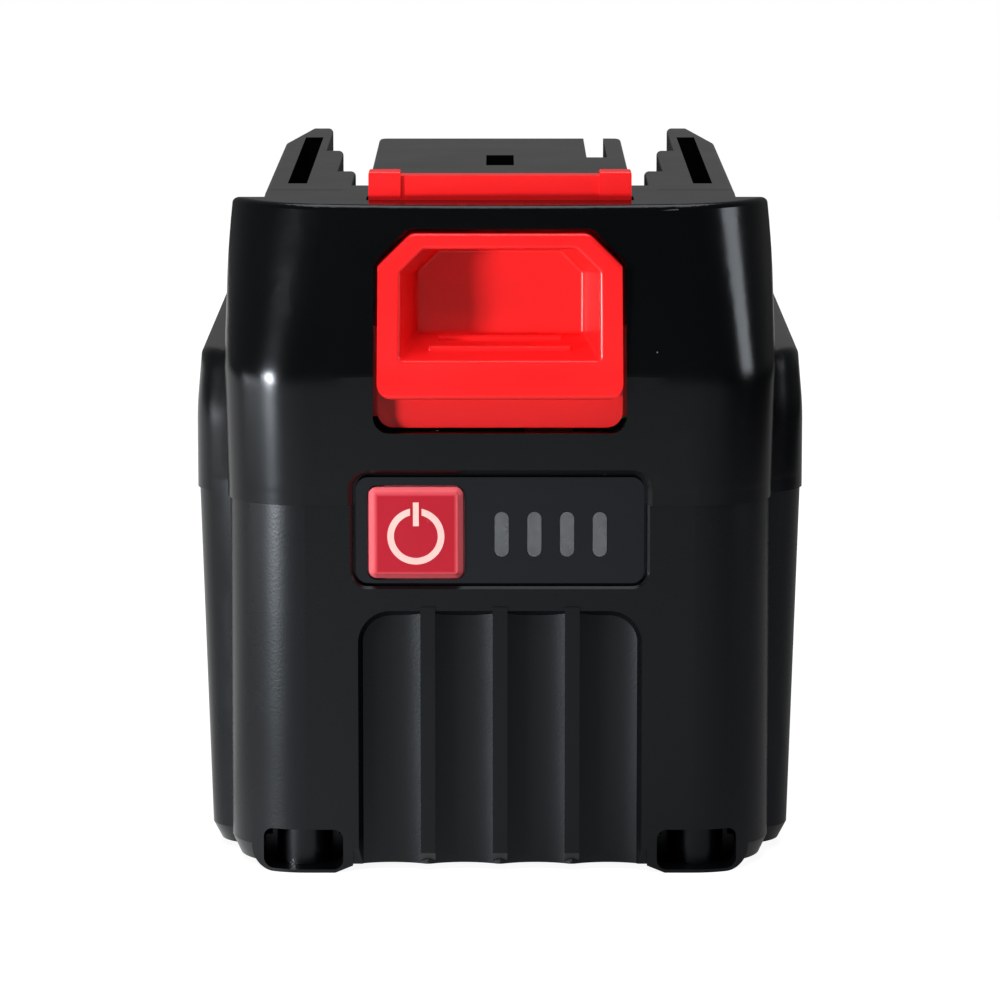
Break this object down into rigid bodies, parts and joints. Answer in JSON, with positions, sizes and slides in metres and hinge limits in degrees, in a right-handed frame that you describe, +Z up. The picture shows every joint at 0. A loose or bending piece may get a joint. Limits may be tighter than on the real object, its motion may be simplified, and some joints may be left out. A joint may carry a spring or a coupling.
{
  "type": "power tool battery pack",
  "caption": "Slide-on battery pack with rails, a terminal block, a sprung release latch, a power button and charge lights.",
  "frame": {"origin": "on the surface that the feet stand on, under the middle of the pack", "axes": "+Z up, -Y towards the release button and the indicator panel, +X to the right as seen from the front"},
  "size_m": [0.075, 0.1178, 0.0854],
  "materials": {
    "board_green": "glass-epoxy circuit board",
    "button_red": "translucent red moulded polycarbonate",
    "case_lower": "satin black moulded ABS-PC",
    "case_upper": "black moulded ABS-PC, glossier at the front",
    "cell_wrap": "shrink-wrapped steel can",
    "chip_black": "moulded chip packages",
    "connector_yellow": "moulded connector body",
    "contact_brass": "plated contact sheet",
    "fish_paper": "barley paper",
    "guide_grey": "smoked light guide",
    "holder_white": "moulded ABS frame",
    "light_white": "surface-mount lights",
    "nickel": "nickel sheet",
    "panel_black": "black polycarbonate film panel",
    "release_red": "red moulded acetal",
    "screw_steel": "zinc-plated steel",
    "spring_steel": "spring wire",
    "symbol_white": "pale print inlay"
  },
  "bodies": {
    "case": {"board_cable": "connector_yellow", "board_chips": "chip_black", "case_screws": "screw_steel", "cell_01": "cell_wrap", "cell_02": "cell_wrap", "cell_03": "cell_wrap", "cell_04": "cell_wrap", "cell_05": "cell_wrap", "cell_06": "cell_wrap", "cell_07": "cell_wrap", "cell_08": "cell_wrap", "cell_09": "cell_wrap", "cell_10": "cell_wrap", "cell_11": "cell_wrap", "cell_12": "cell_wrap", "cell_13": "cell_wrap", "cell_14": "cell_wrap", "cell_15": "cell_wrap", "cell_holder_left": "holder_white", "cell_holder_right": "holder_white", "cell_strip_left_1": "nickel", "cell_strip_left_2": "nickel", "cell_strip_left_3": "nickel", "cell_strip_right_1": "nickel", "cell_strip_right_2": "nickel", "cell_strip_right_3": "nickel", "charge_lights": "light_white", "contact_negative": "contact_brass", "contact_positive": "contact_brass", "data_connector": "connector_yellow", "indicator_panel": "panel_black", "latch_spring_left": "spring_steel", "latch_spring_right": "spring_steel", "light_board": "board_green", "light_guide": "guide_grey", "lower_case": "case_lower", "main_board": "board_green", "power_switch": "chip_black", "side_sheet_left": "fish_paper", "side_sheet_right": "fish_paper", "top_sheet": "fish_paper", "upper_case": "case_upper"},
    "release": {"release_button": "release_red"},
    "power": {"power_button": "button_red", "power_symbol": "symbol_white", "switch_plunger": "chip_black"}
  },
  "joints": [
    {"name": "release_press", "type": "slide", "parent": "case", "child": "release", "axis": [0, 0, -1], "range_m": [0, 0.004], "stiffness_N_per_m": 2500, "deforming": ["latch_spring_left", "latch_spring_right"]},
    {"name": "power_press", "type": "slide", "parent": "case", "child": "power", "axis": [0, 1, 0], "range_m": [0, 0.0005], "stiffness_N_per_m": 4000}
  ]
}
